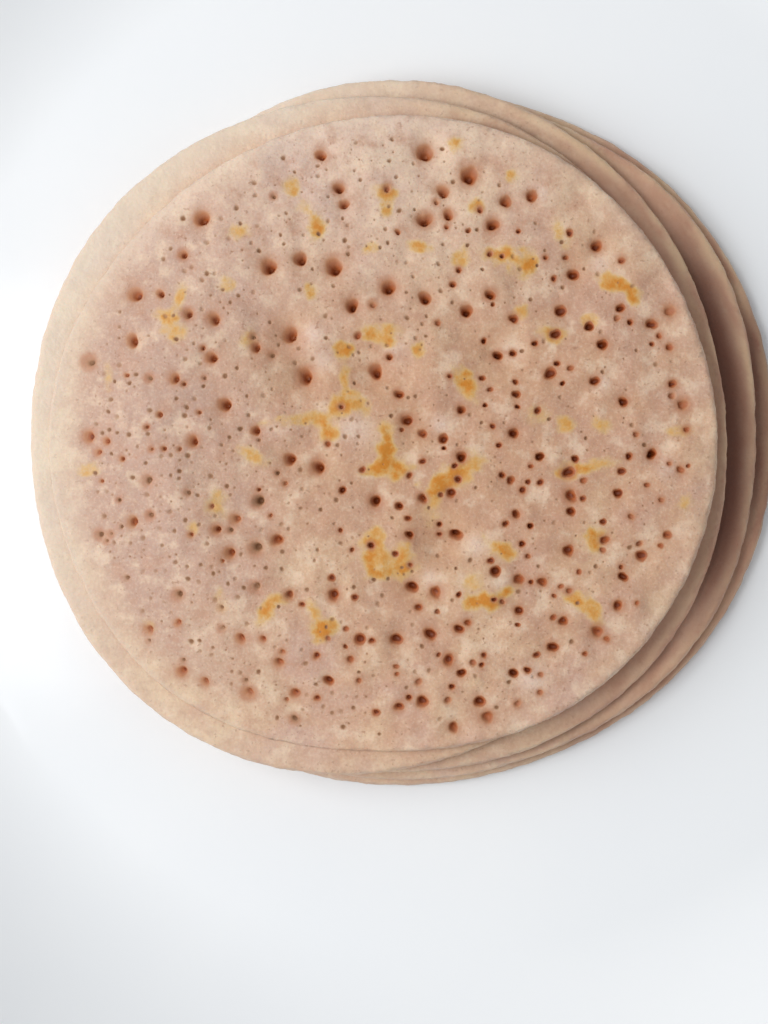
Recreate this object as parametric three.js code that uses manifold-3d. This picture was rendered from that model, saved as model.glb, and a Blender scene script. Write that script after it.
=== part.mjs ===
// Five thin buckwheat pancakes lying one on another on a wide round plate.
// Millimetres, +Z up, origin at the centre of the plate's foot, on the surface it stands on.
import * as THREE from 'three';
import { mergeVertices } from 'three/addons/utils/BufferGeometryUtils.js';
import Module from 'manifold-3d';

const wasm = await Module();
wasm.setup();

// The plate: a flat well, a wall that curves up to a rounded lip, and a foot ring below.
const PLATE_RADIUS = 150;
const PLATE_HEIGHT = 26;
const PLATE_SECTORS = 72;
const WELL_RADIUS = 102;
const WELL_HEIGHT = 7;
const WALL_CURVE = 1.9;
const WALL_STEPS = 6;
const WALL_THICKNESS = 5;
const LIP_RADIUS = 2;
const LIP_SLOPE = THREE.MathUtils.degToRad(38);
const LIP_STEPS = 4;
const FOOT_OUTER = 92;
const FOOT_INNER = 84;
const FOOT_SLOPE = 1.5;
const FOOT_RECESS = 1.7;

// The stack: one pitch a pancake. The layers thin towards the edge on the -X side, where the stack
// slopes, and keep their pitch on the +X side, where its edge is a steep step. The top pancake also thins
// out to a feather edge on the sloping side, about one direction, and lies there nearly flush.
const PITCH = 3.5;
const GAP = 0.3;
const STACK_CENTRE = new THREE.Vector2(-9.5, 1);
const THIN_FROM = 46;
const THIN_TO = 74;
const THIN_SHARE = 0.2;
const FEATHER_DEPTH = 1.9;
const FEATHER_FROM = 42;
const FEATHER_TO = 66;
const FEATHER_DIRECTION = THREE.MathUtils.degToRad(195);
const FEATHER_COSINES = [0.35, 0.8];
const SECTORS = 56;

// A pancake's section as [share of its radius, share of its thickness], from the middle of its
// underside round the soft edge to the middle of its top.
const SECTION = [
  [0, 0], [0.66, 0], [0.76, 0], [0.86, 0], [0.94, 0], [0.99, 0.04], [0.998, 0.2], [1, 0.44],
  [0.998, 0.66], [0.994, 0.82], [0.986, 0.94], [0.974, 1], [0.9, 1], [0.8, 1], [0.68, 1], [0, 1],
];

// Each pancake from the plate up: its centre, mean radius, and the waves of its outline as
// [waves round the edge, height of the wave, angle in degrees of its first crest].
const PANCAKES = [
  { name: 'pancake_5', x: -7.9, y: 0.8, radius: 70.8, waves: [[2, 1.7, 7], [5, 0.3, -35]] },
  {
    name: 'pancake_4',
    x: -9.5,
    y: 1,
    radius: 69.6,
    waves: [[2, 1.4, 6], [3, 0.4, -55], [4, 0.3, 42], [5, 0.4, 30], [6, 0.4, -26]],
  },
  {
    name: 'pancake_3',
    x: -12.8,
    y: 1.6,
    radius: 67.7,
    waves: [[2, 0.2, 74], [3, 1.1, -42], [4, 0.3, -33], [5, 0.3, 21], [6, 0.2, -20]],
  },
  {
    name: 'pancake_2',
    x: -17.3,
    y: 0.9,
    radius: 65.9,
    waves: [[2, 0.7, 50], [3, 0.6, -2], [4, 0.5, -27], [5, 0.2, -8]],
  },
  {
    name: 'pancake_1',
    x: -13,
    y: 0,
    radius: 63.2,
    waves: [[1, 0.4, 166], [2, 1.6, 11], [3, 0.8, -41], [4, 0.3, -34], [5, 0.2, 17], [6, 0.2, -5]],
  },
];

// The widest bubble pits in the top pancake, as [x, y, mouth radius] from its centre.
const WIDE_PITS = [
  [7.5, 55, 2.1], [16, 50.5, 2.3], [-35.5, 42.5, 1.9], [7.5, 42, 1.7], [20.5, 41, 1.7],
  [40.5, 37, 1.9], [-16.5, 34.5, 1.7], [-22.5, 33, 1.9], [-10, 33, 2.1], [0.5, 29, 1.9],
  [-48.5, 28, 2.3], [7.5, 27, 1.7], [-6.5, 25.5, 1.7], [15.5, 24.5, 1.7], [-18.5, 20, 1.9],
  [-49, 19, 1.7], [-2, 13, 2.3], [-15.5, 12, 2.3], [-31, 6.5, 1.7], [-57.5, 0.5, 1.7],
  [51, -3, 1.7], [-18.5, -4, 1.7], [-13, -5.5, 1.7], [13.5, -18.5, 1.7], [5, -28.5, 1.9],
  [24.5, -45, 1.7], [-11, -46.5, 1.7],
];

// Smaller pits fill the room between them, each as far from its neighbours as its draws allow.
const SMALL_PITS = 20;
const SMALL_PIT_RADIUS = 1.4;
const SMALL_PIT_REACH = 56;
const DRAWS_PER_PIT = 24;
const PIT_SEED = 7;
const PIT_SIDES = 8;

// A pit's section as [share of its mouth radius, share of the pancake's thickness], from the bottom
// of the shaft up the funnel to a cap clear of the surface.
const PIT_SECTION = [
  [0, -0.64], [0.42, -0.64], [0.56, -0.28], [1, 0], [1.25, 0.15], [0, 0.15],
];

const glaze = new THREE.MeshStandardMaterial({ color: 0xf0f3f6, roughness: 0.12, metalness: 0 });
const crumb = new THREE.MeshStandardMaterial({ color: 0xcfa888, roughness: 0.85, metalness: 0 });

function smoothStep(from, to, value) {
  const t = THREE.MathUtils.clamp((value - from) / (to - from), 0, 1);
  return t * t * (3 - 2 * t);
}

// Numbers from 0 to 1 that come out the same on every run.
function seededDraws(seed) {
  let state = seed;
  return () => {
    state = (state * 48271) % 2147483647;
    return state / 2147483647;
  };
}

// A closed profile turned about +Z, with the profile given from its lower end on the axis to its upper.
function turned(profile, sectors) {
  const points = profile.map(([across, up]) => new THREE.Vector2(across, up));
  return new THREE.LatheGeometry(points, sectors).rotateX(Math.PI / 2);
}

function solidFrom(geometry) {
  const bare = geometry.clone();
  bare.deleteAttribute('normal');
  bare.deleteAttribute('uv');
  const merged = mergeVertices(bare, 1e-3);
  const mesh = new wasm.Mesh({
    numProp: 3,
    vertProperties: merged.getAttribute('position').array,
    triVerts: new Uint32Array(merged.index.array),
  });
  return new wasm.Manifold(mesh);
}

function geometryFrom(solid) {
  const mesh = solid.getMesh();
  const geometry = new THREE.BufferGeometry();
  geometry.setAttribute('position', new THREE.BufferAttribute(mesh.vertProperties, 3));
  geometry.setIndex(new THREE.BufferAttribute(mesh.triVerts, 1));
  geometry.computeVertexNormals();
  return geometry;
}

// The plate's upper face leaves the well's edge level and meets the lip's round at its slope.
function wallHeight(radius) {
  const run = PLATE_RADIUS - LIP_RADIUS * (1 + Math.sin(LIP_SLOPE)) - WELL_RADIUS;
  const rise = PLATE_HEIGHT - LIP_RADIUS * (1 - Math.cos(LIP_SLOPE)) - WELL_HEIGHT;
  return WELL_HEIGHT + rise * ((radius - WELL_RADIUS) / run) ** WALL_CURVE;
}

function plateGeometry() {
  const wallStep = (PLATE_RADIUS - 2 * LIP_RADIUS - WELL_RADIUS) / WALL_STEPS;
  const profile = [
    [0, FOOT_RECESS],
    [FOOT_INNER - FOOT_SLOPE, FOOT_RECESS],
    [FOOT_INNER, 0],
    [FOOT_OUTER, 0],
    [FOOT_OUTER + FOOT_SLOPE, WELL_HEIGHT - WALL_THICKNESS],
  ];
  for (let i = 0; i < WALL_STEPS; i++) {
    const radius = WELL_RADIUS + wallStep * i;
    profile.push([radius, wallHeight(radius) - WALL_THICKNESS]);
  }
  for (let i = 0; i <= LIP_STEPS; i++) {
    const angle = LIP_SLOPE - Math.PI / 2 + (Math.PI * i) / LIP_STEPS;
    profile.push([
      PLATE_RADIUS - LIP_RADIUS + LIP_RADIUS * Math.cos(angle),
      PLATE_HEIGHT - LIP_RADIUS + LIP_RADIUS * Math.sin(angle),
    ]);
  }
  for (let i = WALL_STEPS - 1; i >= 0; i--) {
    const radius = WELL_RADIUS + wallStep * i;
    profile.push([radius, wallHeight(radius)]);
  }
  profile.push([0, WELL_HEIGHT]);
  return turned(profile, PLATE_SECTORS);
}

// How far the top pancake's upper face falls towards its feather edge.
function featherFall(x, y) {
  const across = x - STACK_CENTRE.x;
  const along = y - STACK_CENTRE.y;
  const away = Math.max(Math.hypot(across, along), 1);
  const cosine = (across * Math.cos(FEATHER_DIRECTION) + along * Math.sin(FEATHER_DIRECTION)) / away;
  return FEATHER_DEPTH * smoothStep(FEATHER_FROM, FEATHER_TO, away) * smoothStep(...FEATHER_COSINES, cosine);
}

// Height of the surface between one pancake and the next, with `level` pancakes below it.
function layerHeight(level, x, y) {
  const across = x - STACK_CENTRE.x;
  const away = Math.hypot(across, y - STACK_CENTRE.y);
  const sloping = smoothStep(THIN_FROM, THIN_TO, away) * (1 - across / Math.max(away, THIN_FROM)) / 2;
  const height = WELL_HEIGHT + GAP + level * PITCH * (1 - THIN_SHARE * sloping);
  return level < PANCAKES.length ? height : height - featherFall(x, y);
}

function outlineRadius(pancake, angle) {
  let radius = pancake.radius;
  for (const [count, height, crest] of pancake.waves) {
    radius += height * Math.cos(count * (angle - THREE.MathUtils.degToRad(crest)));
  }
  return radius;
}

// The section turned on a unit circle, then stretched to the outline and laid between two layers.
function pancakeGeometry(pancake, level) {
  const geometry = turned(SECTION, SECTORS);
  const position = geometry.getAttribute('position');
  for (let i = 0; i < position.count; i++) {
    const reach = Math.hypot(position.getX(i), position.getY(i));
    const angle = Math.atan2(position.getY(i), position.getX(i));
    const radius = reach * outlineRadius(pancake, angle);
    const x = pancake.x + radius * Math.cos(angle);
    const y = pancake.y + radius * Math.sin(angle);
    const bottom = layerHeight(level, x, y);
    const top = layerHeight(level + 1, x, y) - GAP;
    position.setXYZ(i, x, y, THREE.MathUtils.lerp(bottom, top, position.getZ(i)));
  }
  return geometry;
}

// The hand-placed wide pits, then the smaller ones drawn into the widest room left.
function pitPlaces() {
  const draw = seededDraws(PIT_SEED);
  const places = WIDE_PITS.map((pit) => [...pit]);
  for (let i = 0; i < SMALL_PITS; i++) {
    let best = null;
    let bestRoom = -Infinity;
    for (let k = 0; k < DRAWS_PER_PIT; k++) {
      const radius = SMALL_PIT_REACH * Math.sqrt(draw());
      const angle = 2 * Math.PI * draw();
      const x = radius * Math.cos(angle);
      const y = radius * Math.sin(angle);
      const room = Math.min(...places.map((pit) => Math.hypot(pit[0] - x, pit[1] - y)));
      if (room > bestRoom) {
        best = [x, y, SMALL_PIT_RADIUS];
        bestRoom = room;
      }
    }
    places.push(best);
  }
  return places;
}

function pittedGeometry(pancake, level) {
  let solid = solidFrom(pancakeGeometry(pancake, level));
  for (const [dx, dy, mouth] of pitPlaces()) {
    const x = pancake.x + dx;
    const y = pancake.y + dy;
    const top = layerHeight(level + 1, x, y) - GAP;
    const thickness = top - layerHeight(level, x, y);
    const section = PIT_SECTION.map(([across, up]) => [across * mouth, up * thickness]);
    const pit = turned(section, PIT_SIDES).translate(x, y, top);
    solid = solid.subtract(solidFrom(pit));
  }
  return geometryFrom(solid);
}

const stack = new THREE.Group();

function addMesh(name, geometry, material) {
  const mesh = new THREE.Mesh(geometry, material);
  mesh.name = name;
  stack.add(mesh);
}

addMesh('plate', plateGeometry(), glaze);
PANCAKES.forEach((pancake, level) => {
  const onTop = level === PANCAKES.length - 1;
  const geometry = onTop ? pittedGeometry(pancake, level) : pancakeGeometry(pancake, level);
  addMesh(pancake.name, geometry, crumb);
});

export default stack;
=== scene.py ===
import bpy
import numpy as np
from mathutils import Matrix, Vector
from mathutils.geometry import delaunay_2d_cdt


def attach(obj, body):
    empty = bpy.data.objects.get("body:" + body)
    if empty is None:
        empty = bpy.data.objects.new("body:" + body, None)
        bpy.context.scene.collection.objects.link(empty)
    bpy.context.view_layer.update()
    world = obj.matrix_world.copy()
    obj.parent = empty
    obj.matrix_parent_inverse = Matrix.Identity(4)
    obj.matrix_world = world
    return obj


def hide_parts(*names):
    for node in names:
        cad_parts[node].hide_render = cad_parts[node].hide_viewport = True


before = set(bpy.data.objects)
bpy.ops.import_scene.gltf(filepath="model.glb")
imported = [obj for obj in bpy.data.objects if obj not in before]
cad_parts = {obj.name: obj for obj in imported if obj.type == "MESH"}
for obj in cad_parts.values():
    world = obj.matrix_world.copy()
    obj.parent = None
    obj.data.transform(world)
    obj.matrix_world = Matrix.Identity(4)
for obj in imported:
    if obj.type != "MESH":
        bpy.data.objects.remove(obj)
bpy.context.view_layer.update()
mm = 0.001  # shapes are worked out in millimetres and put into the meshes in metres
print("frame loaded:", ", ".join(sorted(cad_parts)))


# 0 below the first value, 1 above the second, a smooth S between them
def smoothStep(low, high, value):
    t = np.clip((value - low) / (high - low), 0, 1)
    return t * t * (3 - 2 * t)


# a bell curve over the plan: 1 at its own place, falling with the square of the distance
def bell(x, y, px, py, reach):
    return np.exp(-((x - px) ** 2 + (y - py) ** 2) / reach ** 2)


# cloudy noise from -1 to 1: random values on a square lattice, blended smoothly between its corners
def cloud(x, y, cell, seed):
    size = 97
    table = np.random.default_rng(seed).uniform(-1, 1, (size, size))
    u, v = x / cell + 500.37, y / cell + 500.61  # clear of the lattice's own origin
    i, j = np.floor(u).astype(int), np.floor(v).astype(int)
    a, b = smoothStep(0, 1, u - i), smoothStep(0, 1, v - j)
    near = table[i % size, j % size] * (1 - a) + table[(i + 1) % size, j % size] * a
    far = table[i % size, (j + 1) % size] * (1 - a) + table[(i + 1) % size, (j + 1) % size] * a
    return near * (1 - b) + far * b


# that noise in several sizes, added up: each layer is its height and its cell
def cloudLayers(x, y, layers, seed):
    return sum(height * cloud(x, y, cell, seed + k) for k, (height, cell) in enumerate(layers))


# a colour as it reads in a photo, 0 to 255, turned into the linear values that shaders take
def tone(red, green, blue):
    c = np.array([red, green, blue]) / 255
    linear = np.where(c <= 0.04045, c / 12.92, ((c + 0.055) / 1.055) ** 2.4)
    return (*linear.tolist(), 1.0)


# a mesh object from whole arrays: points in millimetres, triangles, and one value a point for each attribute
def meshPiece(name, points, triangles, values, material):
    mesh = bpy.data.meshes.new(name)
    mesh.vertices.add(len(points))
    mesh.vertices.foreach_set("co", (points * mm).astype(np.float32).ravel())
    mesh.loops.add(triangles.size)
    mesh.loops.foreach_set("vertex_index", triangles.astype(np.int32).ravel())
    mesh.polygons.add(len(triangles))
    mesh.polygons.foreach_set("loop_start", np.arange(0, triangles.size, 3, dtype=np.int32))
    mesh.polygons.foreach_set("use_smooth", np.ones(len(triangles), dtype=bool))
    mesh.update(calc_edges=True)
    for key, value in values.items():
        layer = mesh.attributes.new(key, "FLOAT", "POINT")
        layer.data.foreach_set("value", value.astype(np.float32))
    mesh.validate()
    mesh.materials.append(material)
    piece = bpy.data.objects.new(name, mesh)
    bpy.context.scene.collection.objects.link(piece)
    return piece


# the triangles of a grid of rings, each closed on itself, that faces outwards when the rings run
# from the top over the edge to the underside and their points run anticlockwise
def ringTriangles(first, rings, around):
    j, i = np.meshgrid(np.arange(rings - 1), np.arange(around), indexing="ij")
    here, beside = first + j * around + i, first + j * around + (i + 1) % around
    a, b, c, d = here.ravel(), (here + around).ravel(), (beside + around).ravel(), beside.ravel()
    return np.concatenate([np.stack([a, b, c], 1), np.stack([a, c, d], 1)])


# the triangles from one ring to a pole, facing up or down
def fanTriangles(pole, first, around, facesUp):
    i = np.arange(around)
    here, beside = first + i, first + (i + 1) % around
    pair = (here, beside) if facesUp else (beside, here)
    return np.stack([np.full(around, pole), *pair], 1)


# shader helpers: a node with its settings and its sockets, each socket a value or another node's output
def shaderNode(tree, kind, settings=None, sockets=None):
    node = tree.nodes.new(kind)
    for key, value in (settings or {}).items():
        setattr(node, key, value)
    for key, value in (sockets or {}).items():
        if isinstance(value, bpy.types.NodeSocket):
            tree.links.new(value, node.inputs[key])
        else:
            node.inputs[key].default_value = value
    return node


def colourRamp(tree, factor, stops):
    ramp = shaderNode(tree, "ShaderNodeValToRGB", None, {"Fac": factor})
    while len(ramp.color_ramp.elements) < len(stops):
        ramp.color_ramp.elements.new(0.5)
    for element, (place, colour) in zip(ramp.color_ramp.elements, stops):
        element.position = place
        element.color = colour
    return ramp.outputs["Color"]


# sockets 0, 6 and 7 of a colour mix are its factor and its two colours, and output 2 is the result
def mixColour(tree, factor, first, second):
    sockets = {0: factor, 6: first, 7: second}
    return shaderNode(tree, "ShaderNodeMix", {"data_type": "RGBA"}, sockets).outputs[2]


def mathNode(tree, operation, first, second):
    return shaderNode(tree, "ShaderNodeMath", {"operation": operation}, {0: first, 1: second}).outputs[0]


def rangeNode(tree, value, low, high, toLow=0.0, toHigh=1.0):
    sockets = {"Value": value, "From Min": low, "From Max": high, "To Min": toLow, "To Max": toHigh}
    node = shaderNode(tree, "ShaderNodeMapRange", {"interpolation_type": "SMOOTHSTEP"}, sockets)
    return node.outputs["Result"]


def noiseNode(tree, where, size, detail=2.0, roughness=0.5, distortion=0.0):
    sockets = {"Vector": where, "Scale": 1 / (size * mm), "Detail": detail}
    sockets.update({"Roughness": roughness, "Distortion": distortion})
    return shaderNode(tree, "ShaderNodeTexNoise", None, sockets).outputs["Fac"]


def attributeValue(tree, name):
    return shaderNode(tree, "ShaderNodeAttribute", {"attribute_name": name}).outputs["Fac"]


# a colour mixed towards a shade by one of the piece's attributes, at most so far
def attributeTint(tree, colour, name, most, shade):
    return mixColour(tree, mathNode(tree, "MULTIPLY", attributeValue(tree, name), most), colour, shade)


# a colour mixed towards a shade where a value runs from a first number to a second, at most so far
def rangeTint(tree, colour, value, first, second, most, shade):
    return mixColour(tree, rangeNode(tree, value, first, second, 0, most), colour, shade)


def bumpNormal(tree, shader, height, strength, depth):
    sockets = {"Height": height, "Strength": strength, "Distance": depth * mm}
    bump = shaderNode(tree, "ShaderNodeBump", None, sockets)
    tree.links.new(bump.outputs["Normal"], shader.inputs["Normal"])


def newMaterial(name):
    material = bpy.data.materials.new(name)
    material.use_nodes = True
    tree = material.node_tree
    shader = tree.nodes["Principled BSDF"]
    where = shaderNode(tree, "ShaderNodeTexCoord").outputs["Object"]
    return material, tree, shader, where


# Plate

plate = {
    "radius": 150.0,
    "height": 26.0,
    "wellRadius": 102.0,
    "wellHeight": 7.0,
    "wallCurve": 1.9,
    "wallThickness": 5.0,
    "lipRadius": 2.0,
    "lipSlope": np.radians(38),
    "footInner": 84.0,
    "footOuter": 92.0,
    "footSlope": 1.5,
    "footRecess": 1.7,
    "around": 240,
    "poleRing": 0.5,       # radius of the ring next to each pole
    "levelEnd": 96.0,      # the rings stand close together from here to the lip
    "recessEnd": 78.0,     # and apart from here in to the middle of the underside
    "footSpan": (-1, 2.5),  # close rings over each side of the foot ring, from its edge
    "white": (247, 249, 251),
    "shade": (241, 244, 248),
    "bisque": (222, 216, 206),
    "bareBelow": (0.7, 0.3),  # the glaze ends between these heights
    "bareGrit": 0.4,
    "bareRough": 0.7,
    "gloss": (0.1, 0.16),
    "ripple": (0.15, 0.6),  # strength and depth
}


# upper face: level in the well, then rising as a power of the way to the lip's round
def plateUpper(r):
    lip, slope = plate["lipRadius"], plate["lipSlope"]
    run = plate["radius"] - lip * (1 + np.sin(slope)) - plate["wellRadius"]
    rise = plate["height"] - lip * (1 - np.cos(slope)) - plate["wellHeight"]
    share = np.maximum(0, (r - plate["wellRadius"]) / run)
    return plate["wellHeight"] + rise * share ** plate["wallCurve"]


# underside: the upper face less the wall, a shallow recess in the middle, and a foot ring down to zero
def plateUnder(r):
    body = plateUpper(r) - plate["wallThickness"]
    inner, outer, slope = plate["footInner"], plate["footOuter"], plate["footSlope"]
    body = np.where(r < inner, np.minimum(body, plate["footRecess"]), body)
    ring = smoothStep(inner - slope, inner, r) * (1 - smoothStep(outer, outer + slope, r))
    return body * (1 - ring)


# the section, from the middle of the top over the lip to the middle of the underside, turned about the axis
def buildPlate():
    lip, slope, around = plate["lipRadius"], plate["lipSlope"], plate["around"]
    pole, levelEnd = plate["poleRing"], plate["levelEnd"]
    wallEnd = plate["radius"] - lip * (1 + np.sin(slope))
    top = np.concatenate([np.linspace(pole, levelEnd, 12), np.linspace(levelEnd + 3, wallEnd, 40)])
    turn = np.linspace(np.pi / 2 + slope, slope - np.pi / 2, 17)[1:]
    footSide = np.linspace(*plate["footSpan"], 14)
    below = np.concatenate([
        np.linspace(wallEnd + 1, levelEnd, 30),
        plate["footOuter"] + footSide[::-1],
        plate["footInner"] - footSide,
        np.linspace(plate["recessEnd"], pole, 10),
    ])
    r = np.concatenate([top, plate["radius"] - lip + lip * np.cos(turn), below])
    z = np.concatenate([plateUpper(top), plate["height"] - lip + lip * np.sin(turn), plateUnder(below)])
    angle = np.linspace(0, 2 * np.pi, around, endpoint=False)
    turned = [np.outer(r, np.cos(angle)), np.outer(r, np.sin(angle)), np.outer(z, np.ones_like(angle))]
    points = np.stack(turned, 2).reshape(-1, 3)
    poles = np.array([[0, 0, z[0]], [0, 0, z[-1]]])
    count = len(points)
    triangles = np.concatenate([
        ringTriangles(0, len(r), around),
        fanTriangles(count, 0, around, True),
        fanTriangles(count + 1, count - around, around, False),
    ])
    piece = meshPiece("plateGlazed", np.concatenate([points, poles]), triangles, {}, glazeMaterial())
    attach(piece, "root")
    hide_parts("plate")


# white glaze with faint clouds and a slight ripple, and the foot ring wiped bare
def glazeMaterial():
    material, tree, shader, where = newMaterial("plateWhiteGlaze")
    clouds = noiseNode(tree, where, 45, 3, 0.5)
    colour = mixColour(tree, clouds, tone(*plate["shade"]), tone(*plate["white"]))
    height = shaderNode(tree, "ShaderNodeSeparateXYZ", None, {"Vector": where}).outputs["Z"]
    grit = mathNode(tree, "MULTIPLY", noiseNode(tree, where, 0.7, 3, 0.6), plate["bareGrit"] * mm)
    glazed, wiped = plate["bareBelow"]
    bare = rangeNode(tree, mathNode(tree, "ADD", height, grit), glazed * mm, wiped * mm)
    colour = mixColour(tree, bare, colour, tone(*plate["bisque"]))
    tree.links.new(colour, shader.inputs["Base Color"])
    gloss = rangeNode(tree, noiseNode(tree, where, 18, 2, 0.5), 0.3, 0.7, *plate["gloss"])
    rough = mathNode(tree, "MAXIMUM", gloss, mathNode(tree, "MULTIPLY", bare, plate["bareRough"]))
    tree.links.new(rough, shader.inputs["Roughness"])
    bumpNormal(tree, shader, noiseNode(tree, where, 25, 2, 0.4), *plate["ripple"])
    shader.inputs["IOR"].default_value = 1.5
    return material


buildPlate()
print("plate built")


# Stack of pancakes

stack = {
    "gap": 0.3,
    "pitch": 3.5,
    "centre": (-9.5, 1.0),
    "thinFrom": 46.0,
    "thinTo": 74.0,
    "thinShare": 0.2,
    "featherDepth": 2.5,  # how far the top pancake thins out on the sloping side
    "featherFrom": 42.0,
    "featherTo": 66.0,
    "featherWay": np.radians(205),
    "featherSpan": (0.14, 0.64),  # it comes in between these cosines from that direction
    "edgeUpper": 0.012,   # share of the radius over which the top rounds off
    "edgeLower": 0.010,   # and the underside
    "edgeLevel": 0.42,    # share of the thickness at which the edge is widest
    "capShare": 0.992,    # share of the radius that the triangulated top reaches
    "settle": 0.35,       # how far an upper pancake's underside beds into the one below it
    "around": 640,
    "rimRings": 15,
    "underRings": [0.94, 0.86, 0.76, 0.6, 0.3],  # shares of the radius
    "topStep": 0.72,      # between plan points of the top pancake
    "lowerStep": 0.8,     # of the others where they show
    "hiddenStep": 4.0,    # and where they don't
    "ragged": 0.035,
    "raggedCounts": (11, 100, 4),
    "relief": [(0.34, 12), (0.3, 5.5), (0.13, 2.6), (0.05, 1.4)],  # height and cell of each noise
    "lowerRelief": 0.35,
    "crumb": [(0.11, 2.1, 9, -7), (0.12, 1.0, -5, 8)],  # height, cell, and how it slides with the height
    "bands": [(0.75, 1.7), (0.45, 0.7)],
    "bandStretch": 14.0,  # millimetres of noise for one radian round the edge
}

# from the plate up: centre, mean radius, waves of the outline as (count, height, crest in degrees), and the
# painted shade in the crevice under the edge above: how strong it is there, how far out, and from which
# cosine round the stack
pancakes = [
    {
        "node": "pancake_5",
        "centre": (-7.9, 0.8),
        "radius": 70.8,
        "waves": [(2, 1.7, 7), (5, 0.3, -35)],
        "creviceShade": (0.72, 6.0, 0.93),
    },
    {
        "node": "pancake_4",
        "centre": (-9.5, 1.0),
        "radius": 69.6,
        "waves": [(2, 1.4, 6), (3, 0.4, -55), (4, 0.3, 42), (5, 0.4, 30), (6, 0.4, -26)],
        "creviceShade": (0.95, 7.0, 0.75),
    },
    {
        "node": "pancake_3",
        "centre": (-12.8, 1.6),
        "radius": 67.7,
        "waves": [(2, 0.2, 74), (3, 1.1, -42), (4, 0.3, -33), (5, 0.3, 21), (6, 0.2, -20)],
        "creviceShade": (0.1, 3.0, 0.75),
    },
    {
        "node": "pancake_2",
        "centre": (-17.3, 0.9),
        "radius": 65.9,
        "waves": [(2, 0.7, 50), (3, 0.6, -2), (4, 0.5, -27), (5, 0.2, -8)],
        "creviceShade": (0.4, 4.0, 0.75),
    },
    {
        "node": "pancake_1",
        "centre": (-13, 0),
        "radius": 63.2,
        "waves": [(1, 0.4, 166), (2, 1.6, 11), (3, 0.8, -41), (4, 0.3, -34), (5, 0.2, 17), (6, 0.2, -5)],
    },
]

# the top pancake's widest bubble pits, from its centre: x, y, mouth radius
widePits = [
    (7.5, 55, 2.1), (16, 50.5, 2.3), (-35.5, 42.5, 1.9), (7.5, 42, 1.7), (20.5, 41, 1.7),
    (40.5, 37, 1.9), (-16.5, 34.5, 1.7), (-22.5, 33, 1.9), (-10, 33, 2.1), (0.5, 29, 1.9),
    (-48.5, 28, 1.9), (7.5, 27, 1.7), (-6.5, 25.5, 1.7), (15.5, 24.5, 1.7), (-18.5, 20, 1.9),
    (-49, 19, 1.7), (-2, 13, 1.9), (-15.5, 12, 2.0), (-31, 6.5, 1.7), (-57.5, 0.5, 1.4),
    (51, -3, 1.7), (-18.5, -4, 1.7), (-13, -5.5, 1.7), (13.5, -18.5, 1.7), (5, -28.5, 1.9),
    (24.5, -45, 1.7), (-11, -46.5, 1.7),
]

# and the next widest: x, y, with mouths of about one size
plainPits = [
    (-12.5, 54.5), (-9, 48), (11, 47.5), (28, 46.5), (23, 45.5), (-8, 45), (12, 43), (-39, 35.5),
    (36, 31.5), (-43.5, 28), (20, 27.5), (45, 25), (33.5, 24.5), (54.5, 24.5), (-38, 24), (-33, 23),
    (24.5, 23), (51, 22), (39, 21.5), (32.5, 20), (41.5, 18), (-25, 17.5), (21.5, 16), (-33.5, 15.5),
    (-57.5, 15), (31.5, 12.5), (-40.5, 11.5), (40, 11), (55, 10.5), (2.5, 8.5), (25, 8.5), (45.5, 7),
    (57, 6.5), (14.5, 5.5), (4, 3.5), (-25, 1.5), (7, 1), (24.5, 1), (11, 0), (-37, -0.5),
    (29.5, -3.5), (14.5, -3.5), (35, -6.5), (56.5, -6), (24, -8), (-46, -8), (12.5, -10.5), (44.5, -10.5),
    (35.5, -11), (7, -11.5), (-24.5, -12), (-2, -12), (2.5, -13), (35.5, -14), (25, -14.5), (-29, -15.5),
    (-49, -16), (-32.5, -17.5), (-55.5, -18.5), (4.5, -18.5), (54, -18.5), (42, -19.5), (-21, -19.5),
    (35, -21.5), (-25, -21), (-30, -22), (49, -22.5), (21, -25.5), (45.5, -26.5), (25.5, -27), (30, -27.5),
    (-25, -28.5), (9.5, -29.5), (-40, -30), (-18.5, -30), (-10, -30), (44.5, -32), (25.5, -33), (34, -35),
    (14, -36.5), (40.5, -37), (-46, -37), (8.5, -37.5), (-28, -38.5), (-5, -38.5), (2, -38.5), (32, -40),
    (12, -42.5), (-20.5, -43), (14.5, -45), (-39.5, -45), (-35, -47), (-17.5, -49), (-26.5, -49),
    (18, -50.5), (7, -50.5), (2.5, -51.5), (19.5, -53.5), (13, -55.5),
]

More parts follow.
